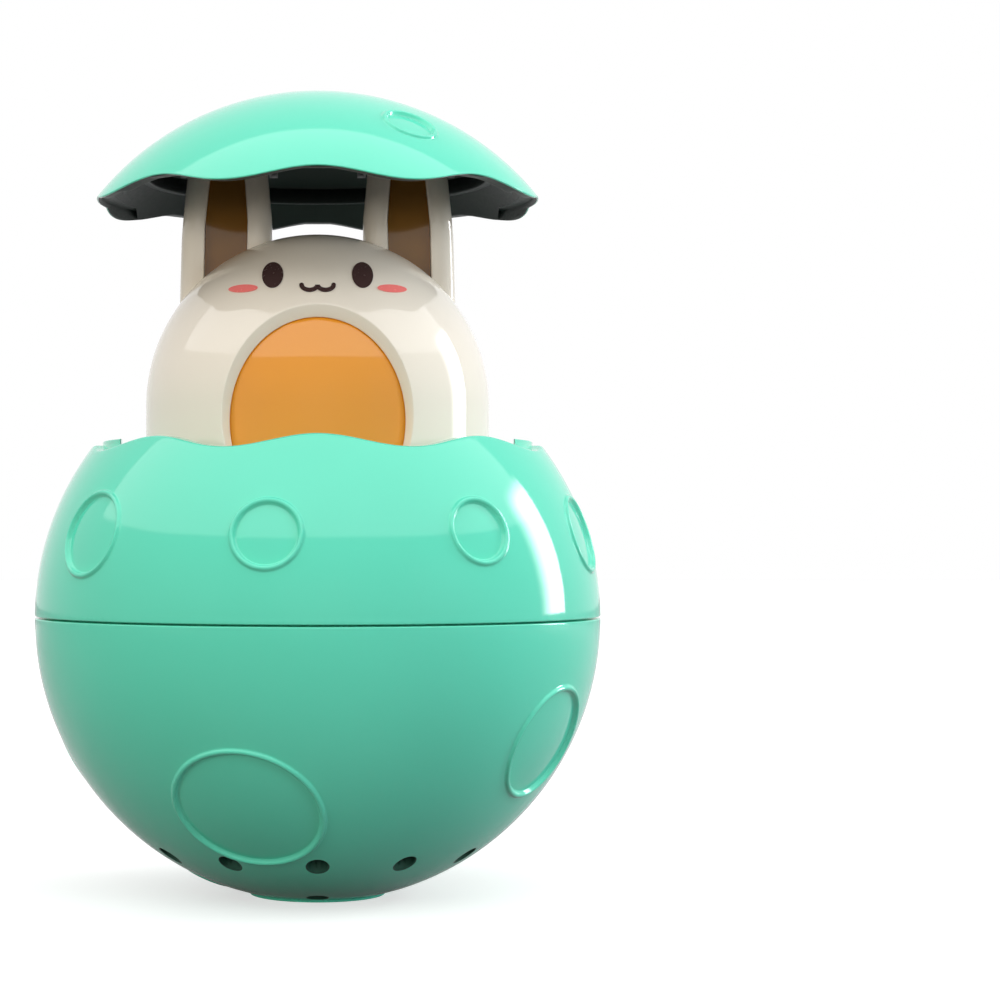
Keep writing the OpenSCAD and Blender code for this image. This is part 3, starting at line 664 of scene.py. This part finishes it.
def shows_white(tree):
    """One for rays that look at the background: straight from the camera, or by way of gloss or glass."""
    rays = add(tree, "LightPath", {}).outputs
    mirror = add(tree, "Math", {0: rays["Is Glossy Ray"], 1: rays["Is Transmission Ray"]},
                 operation="MAXIMUM").outputs[0]
    return add(tree, "Math", {0: rays["Is Camera Ray"], 1: mirror}, operation="MAXIMUM").outputs[0]


# Matt paper with a glow of its own: it shows white with a faint shadow, and throws little light back.
paper = bpy.data.materials.new("pale_paper_sweep")
paper.use_nodes = True
tree = paper.node_tree
tree.nodes.remove(tree.nodes["Principled BSDF"])
matte = add(tree, "BsdfDiffuse", {"Color": linear("#5c5c5c")}).outputs[0]
pale = add(tree, "BsdfDiffuse", {"Color": linear("#c4c4c4")}).outputs[0]
straight = add(tree, "LightPath", {}).outputs["Is Camera Ray"]
white = add(tree, "MapRange", {"Value": straight, "To Min": 0.05, "To Max": 0.6}).outputs["Result"]
glow = add(tree, "Emission", {"Color": linear("#ffffff"), "Strength": white}).outputs[0]
lit = add(tree, "AddShader", {0: glow, 1: pale}).outputs[0]
shown = add(tree, "MixShader", {0: shows_white(tree), 1: matte, 2: lit}).outputs[0]
tree.links.new(shown, tree.nodes["Material Output"].inputs["Surface"])
floor_mesh.materials.append(paper)

# The sky shines above a slanted line and ahead of the egg, over a dim surround that shows white.
sky_slant, sky_power = (0, 0.13, 1), 1.5
world = bpy.data.worlds.new("pale_studio")
bpy.context.scene.world = world
world.use_nodes = True
tree = world.node_tree
way = add(tree, "TexCoord", {}).outputs["Generated"]
height = add(tree, "VectorMath", {0: way, 1: sky_slant}, operation="DOT_PRODUCT").outputs["Value"]
depth = add(tree, "SeparateXYZ", {"Vector": way}).outputs["Y"]
above = add(tree, "MapRange", {"Value": height, "From Min": 0.425, "From Max": 0.44}).outputs["Result"]
ahead = add(tree, "MapRange", {"Value": depth, "From Min": 0.37, "From Max": 0.35}).outputs["Result"]
sky = add(tree, "Math", {0: above, 1: ahead}, operation="MULTIPLY").outputs[0]
ground = add(tree, "MapRange", {"Value": shows_white(tree), "To Min": 0.08, "To Max": 1.0}).outputs["Result"]
strength = add(tree, "Math", {0: sky, 1: sky_power, 2: ground}, operation="MULTIPLY_ADD").outputs[0]
tree.nodes["Background"].inputs["Color"].default_value = linear("#ffffff")
tree.links.new(strength, tree.nodes["Background"].inputs["Strength"])


def lamp(name, place, target, size, power):
    """A soft rectangular lamp at a place, in metres, that faces a target."""
    data = bpy.data.lights.new(name, "AREA")
    data.shape = "RECTANGLE"
    data.size, data.size_y = size
    data.energy = power
    thing = bpy.data.objects.new(name, data)
    thing.location = place
    thing.rotation_euler = (Vector(target) - Vector(place)).to_track_quat("-Z", "Y").to_euler()
    bpy.context.scene.collection.objects.link(thing)
    return thing


# The strip lamp fades out towards one side and at one end, as a long soft box does.
strip = lamp("right_strip", place=(1.1, 0.31, 0.4), target=(0, 0, 0.06), size=(0.38, 0.72), power=11)
strip.data.use_nodes = True
tree = strip.data.node_tree
across = add(tree, "SeparateXYZ", {"Vector": add(tree, "NewGeometry", {}).outputs["Parametric"]}).outputs
side_fade = add(tree, "MapRange", {"Value": across["X"], "From Max": 0.55},
                interpolation_type="SMOOTHSTEP").outputs["Result"]
end_fade = add(tree, "MapRange", {"Value": across["Y"], "From Min": 1.0, "From Max": 0.8},
               interpolation_type="SMOOTHSTEP").outputs["Result"]
fade = add(tree, "Math", {0: side_fade, 1: end_fade}, operation="MULTIPLY").outputs[0]
tree.links.new(fade, tree.nodes["Emission"].inputs["Strength"])
for name, place, power, tint in (("front_fill", (0, -1.3, 0.24), 3.0, "#fff5e4"),
                                 ("right_fill", (0.95, -0.75, 0.3), 3.9, "#eff8ff"),
                                 ("left_fill", (-0.95, -0.75, 0.3), 4.2, "#fff6e8"),
                                 ("back_fill", (-0.2, 1.2, 0.42), 2.6, "#ffffff")):
    fill = lamp(name, place, target=(0, 0, 0.08), size=(0.6, 0.4), power=power)
    fill.data.color = linear(tint)[:3]
    fill.visible_glossy = False

camera_away, camera_up, camera_tilt = 445.65, 14.5, 90.807
camera_data = bpy.data.cameras.new("front_camera")
camera_data.sensor_width = 36
camera_data.lens = 90.15
camera_data.shift_x = 0.1824
camera = bpy.data.objects.new("front_camera", camera_data)
camera.location = (0, -camera_away / 1000, (seam + camera_up) / 1000)
camera.rotation_euler = np.radians([camera_tilt, 0, 0])
bpy.context.scene.collection.objects.link(camera)
bpy.context.scene.camera = camera
bpy.context.scene.view_settings.view_transform = "Standard"
